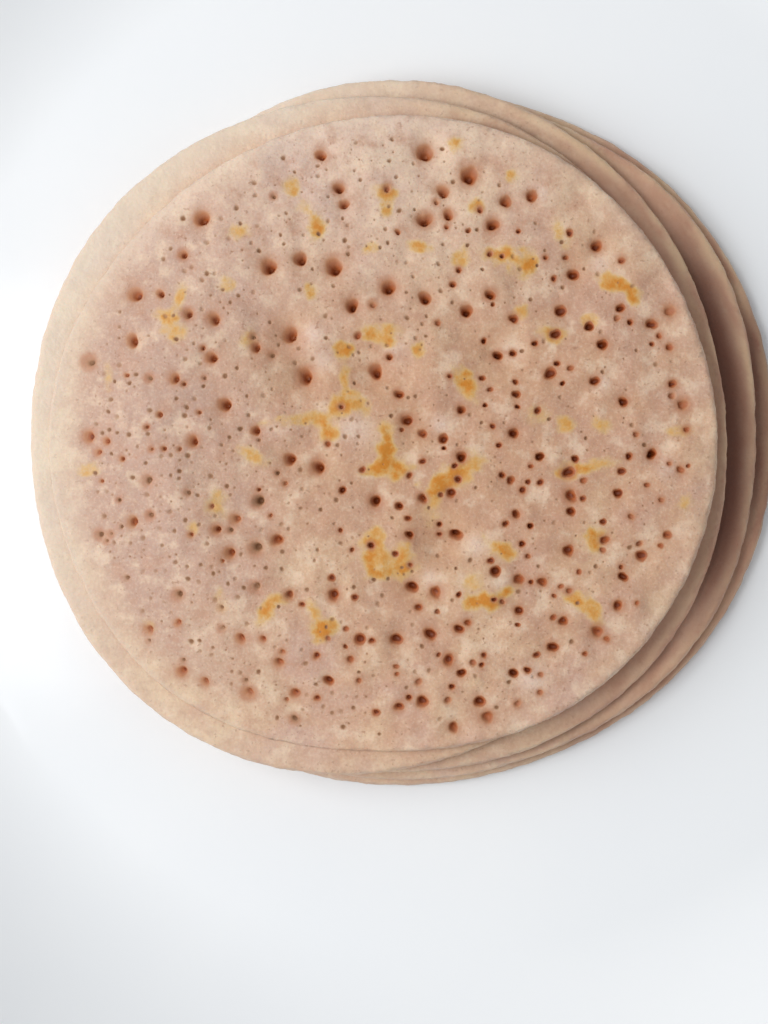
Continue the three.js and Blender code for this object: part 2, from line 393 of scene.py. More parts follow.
# patches where yellow batter shows, from the centre: x, y, length, width, turn in degrees, strength
yellowPatches = [
    (-8, 16.8, 4, 3.8, 0, 0.75), (-8, 11.5, 2.2, 5, 0, 0.55), (-7, 6.6, 7, 4.5, -10, 0.7),
    (-15.5, 3.6, 11, 2.4, 5, 0.65), (-11.6, 1.6, 4, 6.5, 10, 0.9), (0, 2, 3.6, 4, 0, 0.5),
    (0.3, -2.5, 3.8, 6.5, 0, 1.0), (-2.8, -6, 5, 2.6, 10, 0.85), (2.5, -5.5, 7, 5, -10, 0.9),
    (15.3, 11, 8, 3.4, -60, 0.8), (11, -8.5, 6.5, 3.4, 55, 1.0), (14.5, -6.5, 7, 5, 30, 0.55),
    (16, -4.5, 6, 5, 0, 0.2), (9, -13.5, 5, 7, 0, 0.28), (-2.3, -21.5, 4.2, 8.5, 5, 1.0),
    (3, -23.5, 6, 6, 0, 0.65), (1, -25.8, 7, 3, 0, 0.5), (-1.5, 20.2, 7, 3.2, 0, 0.7),
    (0.3, 20.9, 2.6, 2, 0, 0.6), (0.6, 18.5, 3, 2, 0, 0.5), (6.3, 16.8, 3.2, 3, 0, 0.55),
    (22, -21.2, 6, 2.8, -28, 0.9), (18.3, -31.3, 6.5, 3.4, 5, 1.0), (23, -29.6, 5.5, 2.4, 25, 0.95),
    (17, -27.5, 4, 3, -40, 0.5), (38, -5.6, 9.5, 3, 5, 0.7), (34.8, -7, 3.6, 2.6, 0, 0.75),
    (34.8, 2.6, 3.6, 3.4, 0, 0.6), (41.2, 2.6, 3.6, 3, 0, 0.6), (40, -18.6, 5.4, 3.8, 10, 1.0),
    (40.5, -20.8, 3, 3, 0, 0.45), (37, -31, 5.4, 2.6, -20, 0.85), (39.8, -33.3, 3, 6, 10, 0.6),
    (56.5, 1.5, 5.5, 2, 0, 0.4), (57, -12.6, 4, 4, 0, 0.4), (29, 5, 5, 4, 0, 0.3),
    (-18, 48, 4, 4, 0, 0.6), (-15.5, 44.5, 3, 3, 0, 0.4), (-13.5, 41, 3.8, 5, 15, 0.8),
    (0, 47, 4.4, 3.2, 0, 0.7), (0.3, 43.5, 2.8, 4, 0, 0.5), (-3.3, 36.5, 3.2, 2.2, 10, 0.65),
    (6.3, 36.8, 4.6, 2.4, -5, 0.7), (14.5, 34.5, 3, 4.5, 0, 0.5), (20.8, 35.2, 5.4, 3, 0, 1.0),
    (26.8, 33.4, 4.8, 5.2, -20, 1.0), (24.2, 34.8, 2.4, 2, 0, 0.7), (33.8, 38.8, 4, 5, 20, 0.45),
    (44, 29.5, 6.4, 3.2, -10, 0.8), (47.3, 27.5, 2.8, 5, 10, 0.75), (26, 24.2, 3.8, 2.8, 45, 0.75),
    (32, 20, 4.6, 2.8, -10, 0.75), (39.3, 22.8, 3, 3, 0, 0.6), (-14.3, 28, 3, 3.2, 0, 0.75),
    (13.5, 56.5, 3, 3, 0, 0.6), (24.3, 50.6, 3, 3, 0, 0.6), (17, 44.7, 3, 2.8, 0, 0.75),
    (-42.5, 23.5, 4.6, 3, -10, 0.65), (-39.8, 26, 2.8, 7, -10, 0.5), (-40, 20.5, 5, 4, 0, 0.65),
    (-28, 39.8, 4, 3, 0, 0.5), (-30.4, 29.4, 2.8, 3, 0, 0.4), (-26, 19.6, 3.6, 5, 0, 0.35),
    (-25.8, -3.4, 6, 2.8, -25, 0.6), (-32.5, -12.5, 5, 6.5, 20, 0.35), (-37.2, -17.4, 3, 3, 0, 0.5),
    (-57.5, -5.8, 4.5, 3, 0, 0.4), (-53.6, 12.5, 1.6, 6, 5, 0.3), (-22.5, -32.8, 3.2, 5.6, -30, 0.75),
    (-19.5, -31, 3, 3, 0, 0.5), (-11.8, -36.4, 4.8, 4.6, 0, 0.9), (-14.2, -32.5, 2.6, 3.4, 30, 0.5),
    (-31.5, -31, 3, 5, 0, 0.25), (-46, -36, 4, 3, 0, 0.3),
]
yellowWobble = [(0.34, 2.4), (0.3, 1.2)]  # height and cell of the noise that bends their outlines

# wide hollows beside pits: x, y, reach, depth
hollows = [
    (-3.5, 13.5, 6.0, 1.3), (-16.5, 12, 4.5, 0.9), (11, -19, 5.5, 1.2), (4, -28.5, 4.5, 0.8),
    (21.5, 16.5, 5.0, 0.9), (5.5, 2.5, 4.5, 0.8), (37.5, 33.5, 5.0, 0.8), (-20, 20.5, 4.5, 0.8),
]

# painted highlights, where the far side of a hollow catches the light: x, y, reach
litSpots = [
    (-6, 1.5, 4.5), (24, 17, 3), (17, -20.5, 3), (29.5, 47, 2), (54, -6, 2.5), (22, -27, 2.2),
    (41.5, 10.5, 2), (-12, 15, 3), (8.5, -27, 2.5), (2, 16.5, 3), (41, 33.5, 2.5), (-14, 20, 2.5),
    (10.5, 2.5, 2.5), (28, -46, 4),
]


# height of the face between two pancakes: the pitch for each layer below, less towards the edge where
# the stack slopes on its left
def layerHeight(level, x, y):
    across = x - stack["centre"][0]
    away = np.hypot(across, y - stack["centre"][1])
    sloping = smoothStep(stack["thinFrom"], stack["thinTo"], away)
    sloping = sloping * (1 - across / np.maximum(away, stack["thinFrom"])) / 2
    return plate["wellHeight"] + stack["gap"] + level * stack["pitch"] * (1 - stack["thinShare"] * sloping)


# how far the top pancake's upper face falls to its feather edge: more with the distance, about one direction
def featherFall(x, y):
    across, along = x - stack["centre"][0], y - stack["centre"][1]
    away = np.maximum(np.hypot(across, along), 1)
    cosine = (across * np.cos(stack["featherWay"]) + along * np.sin(stack["featherWay"])) / away
    outward = smoothStep(stack["featherFrom"], stack["featherTo"], away)
    return stack["featherDepth"] * outward * smoothStep(*stack["featherSpan"], cosine)


# outline: the mean radius, its long waves, and a ragged sum of short waves with seeded phases
def outlineRadius(pancake, angle):
    radius = np.full_like(angle, pancake["radius"])
    for count, height, crest in pancake["waves"]:
        radius += height * np.cos(count * (angle - np.radians(crest)))
    rng = np.random.default_rng(int(pancake["radius"] * 10))
    counts = np.arange(*stack["raggedCounts"])
    phases = rng.uniform(0, 2 * np.pi, len(counts))
    heights = stack["ragged"] * rng.uniform(0.2, 1, len(counts)) * np.sqrt(counts[0] / counts)
    return radius + (heights * np.cos(np.multiply.outer(angle, counts) + phases)).sum(-1)


# Pits

# a pit's rings from the lip of its mouth down its shaft, for a steep hole and for a soft crater: share of
# the mouth radius, of the depth, of the shaft's shift to one side, and how dark it is painted there, browned
# crumb with painted shade deeper down
steepRings = np.array([
    [1.36, 0.00, 0.00, 0.00],
    [1.12, 0.02, 0.00, 0.16],
    [0.96, 0.08, 0.02, 0.34],
    [0.82, 0.22, 0.10, 0.52],
    [0.69, 0.50, 0.26, 0.72],
    [0.54, 0.80, 0.50, 0.86],
    [0.36, 0.95, 0.80, 0.92],
    [0.14, 1.00, 1.00, 0.95],
])
craterRings = np.array([
    [1.25, 0.00, 0.00, 0.00],
    [1.06, 0.02, 0.02, 0.14],
    [0.92, 0.06, 0.14, 0.32],
    [0.78, 0.13, 0.34, 0.48],
    [0.62, 0.24, 0.58, 0.62],
    [0.48, 0.42, 0.80, 0.80],
    [0.36, 0.72, 0.96, 0.94],
    [0.18, 1.00, 1.00, 1.00],
])

# the pits by size: points round each ring, which of the rings, depth as a share of the thickness, how dark
# they are, the least they are craters, whether they are pores, and how many on the left are grey, not brown
pitClasses = {
    "wide": {
        "sides": 22, "rings": [0, 1, 2, 3, 4, 5, 6, 7],
        "depth": (0.36, 0.52), "dark": (0.85, 1.0), "crater": 0.85, "pore": 0, "grey": 0,
    },
    "plain": {
        "sides": 16, "rings": [0, 1, 2, 3, 4, 5, 6, 7],
        "depth": (0.2, 0.42), "dark": (0.58, 1.0), "crater": 0.45, "pore": 0, "grey": 0.25,
    },
    "medium": {
        "sides": 12, "rings": [0, 2, 4, 5, 6],
        "depth": (0.11, 0.3), "dark": (0.4, 1.0), "crater": 0.3, "pore": 0, "grey": 0.6,
    },
    "small": {
        "sides": 9, "rings": [0, 2, 4, 6],
        "depth": (0.035, 0.09), "dark": (0.4, 0.9), "crater": 0.1, "pore": 1, "grey": 1,
    },
    "pores": {
        "sides": 6, "rings": [0, 2, 6],
        "depth": (0.02, 0.05), "dark": (0.35, 0.7), "crater": 0.1, "pore": 1, "grey": 1,
    },
}

pitting = {
    "middle": (14, -8),     # the place that the shafts lean to
    "lean": (0.06, 0.56),   # how far, in mouth radii: a steep hole, and what a crater adds
    "leanSpread": 0.05,
    "lobes": (0.18, 0.09, 0.05),  # the most of two, three and five lobes round a mouth
    "rimFade": 0.42,        # how much weaker the pits are by the right rim
    "lowFade": 0.3,         # and across the bottom
    "leftFade": 0.2,        # how much paler the walls are on the left
    "leftWhole": 0.06,      # and the whole pit
    "leftCore": 0.2,        # how much painted shade darkens the core far on the left
    # how dark the pits are painted, browned crumb and painted shade
    "shade": 0.88,
    "leanShade": (0.4, 0.12),  # painted shade: how much darker a crater is where it leans to, and lighter opposite
    "wallShade": 0.75,      # painted shade: how much darker a steep hole is on its right
    "floorShade": 0.8,      # and how much of that painted shade its floor has all round
    "craterLight": 0.12,    # no crater is as dark as a hole
    "room": 1.45,           # mouth radii that the plain skin's points keep clear of
}

# scattered pits: how many, their mouth radii, and how likely each place is, as a mean share, its slope along
# x and y, its least, and crowds about some places: height, x, y, and the spread along x and y, squared
scatter = {
    "reach": 58.0,
    "plainMouth": (0.84, 1.25),
    "partnered": 0.3,  # share of the plain pits with a smaller one beside them
    "partnerMouth": (0.45, 0.75),
    "edgeFrom": 46.0,
    "medium": {
        "count": 142, "mouth": (0.48, 0.85), "mean": 0.42, "slope": (0.0065, -0.004), "least": 0.06,
        "crowds": [(0.7, -40, -10, 260, 300), (0.3, 4, -48, 300, 120), (0.3, 38, -2, 300, 500)],
    },
    "small": {
        "count": 300, "mouth": (0.4, 0.62), "mean": 0.3, "slope": (-0.003, 0), "least": 0.1,
        "crowds": [(0.3, 0, -42, 400, 200), (0.25, -15, 42, 900, 200), (0.7, -42, -8, 200, 260)],
    },
    "pores": {
        "count": 400, "mouth": (0.26, 0.4), "mean": 0.3, "slope": (0, 0), "least": 0,
        "crowds": [(0.7, -41, -8, 220, 350)],
    },
    "edge": {"count": 70, "mouth": (0.3, 0.6), "mean": 0.8, "slope": (0, 0), "least": 0, "crowds": []},
}


# how likely a place is to have a pit: the mean, its slope, and a bell curve for each crowd
def pitShare(x, y, kind):
    share = kind["mean"] + kind["slope"][0] * x + kind["slope"][1] * y
    for height, px, py, wide, tall in kind["crowds"]:
        share += height * np.exp(-((x - px) ** 2 / wide + (y - py) ** 2 / tall))
    return np.clip(share, kind["least"], 1)


# places drawn one by one by their likelihood, each kept clear of all the earlier pits
def scatterPits(pits, kind, reach, rng, room=1.3):
    placed = np.array(pits, float).reshape(-1, 3)
    found = []
    for _ in range(kind["count"] * 30):
        if len(found) == kind["count"]:
            break
        r, t = reach * np.sqrt(rng.random()), rng.uniform(0, 2 * np.pi)
        x, y, mouth = r * np.cos(t), r * np.sin(t), rng.uniform(*kind["mouth"])
        gaps = np.hypot(placed[:, 0] - x, placed[:, 1] - y) - room * (placed[:, 2] + mouth)
        if rng.random() < pitShare(x, y, kind) and (gaps > 0).all():
            placed = np.concatenate([placed, [(x, y, mouth)]])
            found.append((x, y, mouth))
    return found


# how much a pit is a soft crater, whose shaft leans to the middle: more the further out it lies on the left,
# and less across the bottom
def craterShare(x, y, least):
    away = np.hypot(x - pitting["middle"][0], y - pitting["middle"][1])
    share = np.clip((away - 14) / 30, 0, 1) * (1 - 0.6 * smoothStep(5, 34, x))
    share = np.maximum(share, least * (1 - smoothStep(8, 40, x)))
    bottom = smoothStep(12, 36, -y) * smoothStep(-32, -8, x)
    return share * (1 - 0.65 * bottom)


# rings of points for all the pits of one size, in arrays by pit, ring and point: ovals with faint lobes, sunk
# and shifted ring by ring, each point with its depth, how brown it is with painted shade, and how grey
def pitPoints(pits, size, rng):
    x, y, mouth = np.array(pits, float).T
    mouth = mouth * (1 + 0.1 * size["pore"] * smoothStep(10, 40, -x))  # pores are wider on the left
    n = len(x)

    def spread(low, high):
        return rng.uniform(low, high, n)[:, None]

    angle = np.linspace(0, 2 * np.pi, size["sides"], endpoint=False) + spread(0, 2 * np.pi)
    two, three, five = pitting["lobes"]
    oval = 1 + spread(0, two) * np.cos(2 * (angle - spread(0, np.pi)))
    oval += spread(0, three) * np.cos(3 * (angle - spread(0, np.pi))) + spread(0, five) * np.cos(5 * angle)
    crater = craterShare(x, y, size["crater"])[:, None] * (1 - 0.7 * size["pore"])
    dx, dy = x - pitting["middle"][0], y - pitting["middle"][1]
    least, more = pitting["lean"]
    lean = -np.stack([dx, dy], 1) / (np.hypot(dx, dy) + 1)[:, None] * (least + more * crater)
    lean += rng.uniform(-pitting["leanSpread"], pitting["leanSpread"], (n, 2))
    steepPart, craterPart = steepRings[size["rings"]][:, :, None], craterRings[size["rings"]][:, :, None]
    profile = np.moveaxis(steepPart * (1 - crater[:, 0]) + craterPart * crater[:, 0], 1, 0)
    share, fall, slide, dark = (part.T for part in profile)
    radius = mouth[:, None, None] * oval[:, None, :] * share[:, :, None]
    shift = (mouth[:, None] * lean)[:, None, :] * slide[:, :, None]
    px = x[:, None, None] + shift[:, :, 0:1] + radius * np.cos(angle)[:, None, :]
    py = y[:, None, None] + shift[:, :, 1:2] + radius * np.sin(angle)[:, None, :]
    rightRim = (smoothStep(50, 58, np.hypot(x, y)) * smoothStep(18, 36, x))[:, None]
    faint = 1 - pitting["rimFade"] * rightRim
    low = 1 - pitting["lowFade"] * smoothStep(8, 34, -y)[:, None]
    deep = (spread(*size["depth"]) * faint * low * fall)[:, :, None] + 0 * px

    # paler on the left, but for a core darkened with painted shade far out
    browned = 1 - size["pore"]
    left = browned * smoothStep(0, 45, -x - 0.35 * y)[:, None]
    faint = faint * (1 - pitting["leftFade"] * left * (1 - smoothStep(0.7, 1.0, dark)))
    faint = faint * (1 - pitting["leftWhole"] * left)
    core = pitting["leftCore"] * browned * smoothStep(30, 56, -x)[:, None] * smoothStep(0.6, 1.0, dark)
    # painted shade: a crater is darkest on the side it leans to, and a steep hole on its right and its floor
    toLean = np.cos(angle - np.arctan2(lean[:, 1], lean[:, 0])[:, None])
    skew = 1 + crater * np.where(toLean > 0, *pitting["leanShade"]) * toLean
    strength = spread(*size["dark"])
    shade = pitting["shade"] * (strength * faint * dark + core)[:, :, None] * skew[:, None, :]
    wall = pitting["wallShade"] * low * strength * (1 - crater) * browned * smoothStep(0.1, 0.4, dark * faint)
    base = pitting["floorShade"] * smoothStep(0.72, 0.94, dark)
    shade += wall[:, :, None] * np.maximum(np.cos(angle)[:, None, :], base[:, :, None])
    shade = np.minimum(shade, (1 - pitting["craterLight"] * crater)[:, :, None])
    grey = rng.random(n) < size["grey"] * np.maximum(size["pore"], smoothStep(5, 35, -x))
    pore = grey[:, None, None] * shade
    return np.stack([px.ravel(), py.ravel(), deep.ravel(), (shade - pore).ravel(), pore.ravel()], 1)


# the pits of the top pancake, widest first, each kept clear of those before it
def topPits(rng):
    wide, plain, partners = [], [], []
    for x, y, mouth in widePits:
        wide.append((x, y, mouth * (0.5 + 0.34 * craterShare(x, y, pitClasses["wide"]["crater"]))))
    for x, y in plainPits:
        mouth = rng.uniform(*scatter["plainMouth"])
        plain.append((x, y, mouth * (1 + 0.1 * craterShare(x, y, pitClasses["plain"]["crater"]))))
    for x, y, mouth in plain:
        turn, size = rng.uniform(0, 2 * np.pi), rng.uniform(*scatter["partnerMouth"])
        apart = 1.22 * (mouth + size)
        place = (x + apart * np.cos(turn), y + apart * np.sin(turn), size)
        others = np.array(wide + plain + partners)
        gaps = np.hypot(others[:, 0] - place[0], others[:, 1] - place[1]) - 1.2 * (others[:, 2] + size)
        if rng.random() < scatter["partnered"] and (gaps > 0).all():
            partners.append(place)
    reach = scatter["reach"]
    medium = partners + scatterPits(wide + plain + partners, scatter["medium"], reach, rng)
    small = scatterPits(wide + plain + medium, scatter["small"], reach, rng)
    pores = scatterPits(wide + plain + medium + small, scatter["pores"], reach, rng)
    return {"wide": wide, "plain": plain, "medium": medium, "small": small, "pores": pores}


# Colours and relief of the skin, worked out over the plan

# how yellow a place is: each patch fades out across an oval whose reach is bent by noise
def yellowAmount(x, y):
    left = np.ones_like(x)
    wobble = cloudLayers(x, y, yellowWobble, 41)
    for px, py, length, width, turn, strength in yellowPatches:
        c, s = np.cos(np.radians(turn)), np.sin(np.radians(turn))
        u, v = (x - px) * c + (y - py) * s, (y - py) * c - (x - px) * s
        reach = np.hypot(u / (length * 0.5), v / (width * 0.5)) + wobble
        left *= 1 - strength * smoothStep(1.65, 0.0, reach)
    return 1 - left


# how close a place lies to the mouth of a browned pit: 1 at the mouth, falling evenly to 0 around it
def haloAmount(x, y, pits, rng):
    amount = np.zeros_like(x)
    for px, py, mouth in pits:
        reach = mouth * 0.9 + 0.35
        gap = np.hypot(x - px, y - py) - mouth * 0.95
        amount = np.maximum(amount, rng.uniform(0.4, 1.0) * np.clip(1 - gap / reach, 0, 1))
    return amount


# painted light: paler skin towards the top on the left, and a painted highlight in a bell curve for each lit
# spot
def paintedLightAmount(x, y):
    amount = 0.7 * smoothStep(8, 60, y) * (1 - 0.8 * smoothStep(0, 45, x))
    for px, py, reach in litSpots:
        amount = amount + 0.9 * bell(x, y, px, py, 0.7 * reach)
    return np.minimum(amount, 1)


# how pale the rim is, partly its own paler edge and partly painted light: more with the distance from the
# middle of the top pancake, and most on the upper left, towards the light
def paleRimAndLightAmount(x, y):
    dx, dy = x - pancakes[-1]["centre"][0], y - pancakes[-1]["centre"][1]
    away = np.maximum(np.hypot(dx, dy), 1)
    upperLeft = smoothStep(0.1, 0.9, (0.5 * dy - 0.87 * dx) / away)
    return smoothStep(56, 69, away) * (0.3 + 0.7 * upperLeft)


# the side of the stack that is turned away from the light, from 0 at a given cosine to 1
def shadySide(angle, start):
    return smoothStep(start, 0.1 * start + 0.9, np.cos(angle - np.radians(2.5)))


# painted shade: how close a place lies to the edge of the pancake above, on the shady side, where the steps
# are steep, and a thin painted shadow line along that edge
def creviceShadeAmount(pancake, above, x, y):
    dx, dy = x - above["centre"][0], y - above["centre"][1]
    angle = np.arctan2(dy, dx)
    past = np.hypot(dx, dy) - outlineRadius(above, angle)
    strength, reach, start = pancake["creviceShade"]
    broad = strength * (1 - smoothStep(0.25 * reach, reach, past)) * shadySide(angle, start)
    line = 0.3 * (1 - smoothStep(0.2, 1.5, past)) * smoothStep(0.1, 0.5, np.cos(angle))
    return np.maximum(broad, line)


# bands along the edge of a lower pancake, from 0 to 1: noise drawn out about five times round the edge
def edgeBands(radius, angle, seed):
    return np.clip(0.5 + cloudLayers(radius, stack["bandStretch"] * angle, stack["bands"], seed), 0, 1)


# how far the torn crumb of the edge stands in or out: two sizes of noise that change with the height
def crumbEdge(radius, angle, reach, share, seed):
    x, y = radius * np.cos(angle), radius * np.sin(angle)
    rough = np.zeros_like(x)
    for k, (height, cell, slideX, slideY) in enumerate(stack["crumb"]):
        rough += height * cloud(x + slideX * share, y + slideY * share, cell, seed + k)
    return rough * smoothStep(0.975, 0.992, reach) * np.clip(share * 8, 0, 1)


# what the skin's colours follow at each point of a pancake, each from 0 to 1
def skinValues(pancake, level, x, y, radius, angle, reach, share, sag, pits, rng):
    onTop = level == len(pancakes) - 1
    cx, cy = pancake["centre"]
    face, shown = share > 0.5, share > 0.01
    leftward = smoothStep(0.1, 0.8, -np.cos(angle))
    rightward = smoothStep(0.0, 0.5, np.cos(angle)) * (not onTop)
    upward = 0.55 + 0.45 * smoothStep(-0.4, 0.3, np.sin(angle))
    bands = edgeBands(radius, angle, 200 + 10 * level)
    creviceShade = paintedWarmShade = np.zeros_like(x)
    if not onTop:
        creviceShade = creviceShadeAmount(pancake, pancakes[level + 1], cx + x, cy + y)
        # painted warm shade on the side turned away from the light, and more broadly on the right
        paintedWarmShade = np.maximum(shadySide(angle, 0.75), 0.5 * smoothStep(0.3, 0.8, np.cos(angle)))
    browned = pits.get("wide", []) + pits.get("plain", []) + pits.get("medium", [])
    return {
        "sag": np.clip(sag / 0.8, 0, 1) * face,
        "yellow": yellowAmount(x, y) * face * onTop,
        "halo": haloAmount(x, y, browned, rng),
        "brown": (1 - smoothStep(14, 70, np.hypot(x - 19, y - 3))) * onTop,  # in the middle of the top
        # painted light towards the top on the left, with painted highlights
        "paintedLight": paintedLightAmount(x, y) * onTop,
        "lilac": smoothStep(5, 50, -x) * (1 - smoothStep(0.88, 1.0, reach)) * onTop,
        "creviceShade": creviceShade,
        "paintedWarmShade": paintedWarmShade,
        # noisy tan bands along the strips' outer edge, partly painted light where their rims catch the light
        "tanBandRimLight": bands * smoothStep(0.94, 0.99, reach) * rightward * upward,
        "brownBand": (1 - bands) * rightward,
        # the paler rim, partly painted light
        "paleRimAndLight": paleRimAndLightAmount(cx + x, cy + y) * shown,
        "lip": smoothStep(0.982, 0.996, reach) * leftward * shown,
        "under": np.where(share < 0.02, 1.0, 0.0),
    }


# Shape of a pancake

# a hexagonal lattice of plan points over a square, each moved a little at random
def hexLattice(reach, step, rng):
    rows = np.arange(-reach, reach, step * np.sqrt(3) / 2)
    columns = np.arange(-reach, reach, step)
    x, y = np.meshgrid(columns, rows)
    x = x + np.where(np.arange(len(rows)) % 2, step / 2, 0)[:, None]
    points = np.stack([x.ravel(), y.ravel()], 1)
    return points + rng.uniform(-0.18, 0.18, points.shape) * step


# plan points of the top, from the pancake's centre: x, y, depth of pit, how brown, how grey; then the angle
# of each and its share of the radius
def topPlan(pancake, pits, step, bareReach, rng):
    lattice = hexLattice(pancake["radius"] + 3, step, rng)
    if bareReach > 0:
        lattice = lattice[np.hypot(*lattice.T) > bareReach]
        lattice = np.concatenate([lattice, hexLattice(bareReach, stack["hiddenStep"], rng)])
    clear = np.ones(len(lattice), bool)
    groups = []
    for name, group in pits.items():
        for x, y, mouth in group:
            clear &= np.hypot(lattice[:, 0] - x, lattice[:, 1] - y) > pitting["room"] * mouth + 0.08
        groups.append(pitPoints(group, pitClasses[name], rng))
    lattice = lattice[clear]
    plan = np.concatenate([np.column_stack([lattice, np.zeros((len(lattice), 3))])] + groups)
    angle = np.arctan2(plan[:, 1], plan[:, 0])
    reach = np.hypot(plan[:, 0], plan[:, 1]) / outlineRadius(pancake, angle)
    inside = reach < stack["capShare"] - 0.005
    return plan[inside], angle[inside], reach[inside]


# rings from the edge of that top round the edge and under: share of the radius, share of the thickness
def edgeRings():
    upper, lower, widest = stack["edgeUpper"], stack["edgeLower"], stack["edgeLevel"]
    swing = np.linspace(np.arcsin(1 - (1 - stack["capShare"]) / upper), np.pi, stack["rimRings"])
    reach = 1 - np.where(swing < np.pi / 2, upper, lower) * (1 - np.sin(swing))
    share = widest + np.where(swing < np.pi / 2, 1 - widest, widest) * np.cos(swing)
    under = stack["underRings"]
    return np.concatenate([reach, under]), np.concatenate([share, np.zeros(len(under))])


# triangles of the top, worked out on the disc that the outline is stretched to, whose hull is the first ring
def topTriangles(angle, reach, ringAngle):
    disc = np.column_stack([reach * np.cos(angle), reach * np.sin(angle)]) / stack["capShare"]
    disc = np.concatenate([disc, np.column_stack([np.cos(ringAngle), np.sin(ringAngle)])])
    triangles = np.array(delaunay_2d_cdt(disc.tolist(), [], [], 0, 1e-9, False)[2])
    corner = disc[triangles]
    ab, ac = corner[:, 1] - corner[:, 0], corner[:, 2] - corner[:, 0]
    turned = ab[:, 0] * ac[:, 1] - ab[:, 1] * ac[:, 0] < 0
    triangles[turned] = triangles[turned][:, ::-1]
    return triangles


# one pancake: its top is a height over scattered plan points, and rings carry it round the edge and under
def buildPancake(pancake, level, pits, dents, material):
    rng = np.random.default_rng(50 + level)
    onTop = level == len(pancakes) - 1
    cx, cy = pancake["centre"]
    step, bareReach = (stack["topStep"], 0) if onTop else (stack["lowerStep"], scatter["edgeFrom"])
    plan, angle, reach = topPlan(pancake, pits, step, bareReach, rng)
    ringReach, ringShare = edgeRings()
    rings, around = len(ringReach), stack["around"]
    ringAngle = np.linspace(0, 2 * np.pi, around, endpoint=False)
    ringRadius = np.outer(ringReach, outlineRadius(pancake, ringAngle)).ravel()

    # all the points: the top, the rings and the pole of the underside
    allReach = np.concatenate([reach, np.repeat(ringReach, around), [0]])
    allAngle = np.concatenate([angle, np.tile(ringAngle, rings), [0]])
    radius = np.concatenate([np.hypot(plan[:, 0], plan[:, 1]), ringRadius, [0]])
    rounding = np.clip(1 - (1 - reach) / stack["edgeUpper"], 0, 1)
    topShare = stack["edgeLevel"] + (1 - stack["edgeLevel"]) * np.sqrt(1 - rounding ** 2)
    share = np.concatenate([topShare, np.repeat(ringShare, around), [0]])
    radius += crumbEdge(radius, allAngle, allReach, share, 90 + 10 * level)
    x, y = radius * np.cos(allAngle), radius * np.sin(allAngle)
    deep, dark, pore = np.concatenate([plan[:, 2:], np.zeros((rings * around + 1, 3))]).T

    # heights: a share of the thickness, less the pit, with relief and sag where the top is
    bottom = layerHeight(level, cx + x, cy + y) - stack["settle"] * (level > 0)
    top = layerHeight(level + 1, cx + x, cy + y) - stack["gap"] - featherFall(cx + x, cy + y) * onTop
    sag = np.zeros_like(x)
    for px, py, wide, depth in dents:
        sag += depth * bell(x, y, px, py, wide)
    relief = cloudLayers(x, y, stack["relief"], 60 + 10 * level) - sag - 0.3
    relief *= (1.0 if onTop else stack["lowerRelief"]) * np.clip((top - bottom) / 2.5, 0, 1)
    z = bottom + (share - deep) * (top - bottom) + np.clip(share * 1.8 - 0.8, 0, 1) * relief
    z = np.maximum(z, bottom + 0.4 * share)
    points = np.column_stack([cx + x, cy + y, z])

    last = len(plan) + (rings - 1) * around
    triangles = np.concatenate([
        topTriangles(angle, reach, ringAngle),
        ringTriangles(len(plan), rings, around),
        fanTriangles(last + around, last, around, False),
    ])
    values = {"pitBrownAndShade": dark, "pore": pore}
    values.update(skinValues(pancake, level, x, y, radius, allAngle, allReach, share, sag, pits, rng))
    piece = meshPiece(pancake["node"].replace("_", ""), points, triangles, values, material)
    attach(piece, "root")
    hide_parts(pancake["node"])
    print(pancake["node"], len(points), "points", len(triangles), "triangles")


skin = {
    "cream": (220, 189, 157),
    "tan": (207, 168, 140),
    "mauve": (203, 166, 148),
    "brown": (193, 145, 112),
    # painted light
    "paintedLight": (232, 212, 198),
    "lilac": (187, 154, 138),
    "dusk": (190, 146, 122),
    "light": (232, 206, 180),
    "fleck": (162, 118, 94),
    # paler rim, partly painted light on the upper left
    "paleRimAndLight": (231, 217, 198),
    "lip": (207, 186, 168),
    # painted warm shade of the shady side, lighter and deeper
    "paintedShadeBlush": (214, 166, 140),
    "paintedWarmShade": (188, 140, 118),
    "brownBand": (168, 112, 84),
    # tan bands, partly painted light on the strips' rims
    "tanBandRimLight": (219, 188, 152),
    # painted crevice shade
    "creviceShade": (92, 46, 32),
    "halo": (180, 124, 94),
    "yellowPale": (218, 186, 128),
    "yellowDeep": (208, 154, 82),
    "amber": (203, 130, 38),
    "pore": (162, 119, 86),
    "poreCore": (124, 84, 57),
    # browned pit walls, deepening into painted shade in the core and on the floor
    "pitWarm": (192, 138, 99),
    "pitWall": (168, 107, 75),
    "pitDeep": (166, 91, 50),
    "pitCore": (122, 54, 20),
    "pitNight": (106, 43, 9),
    "toasted": (150, 96, 58),
}
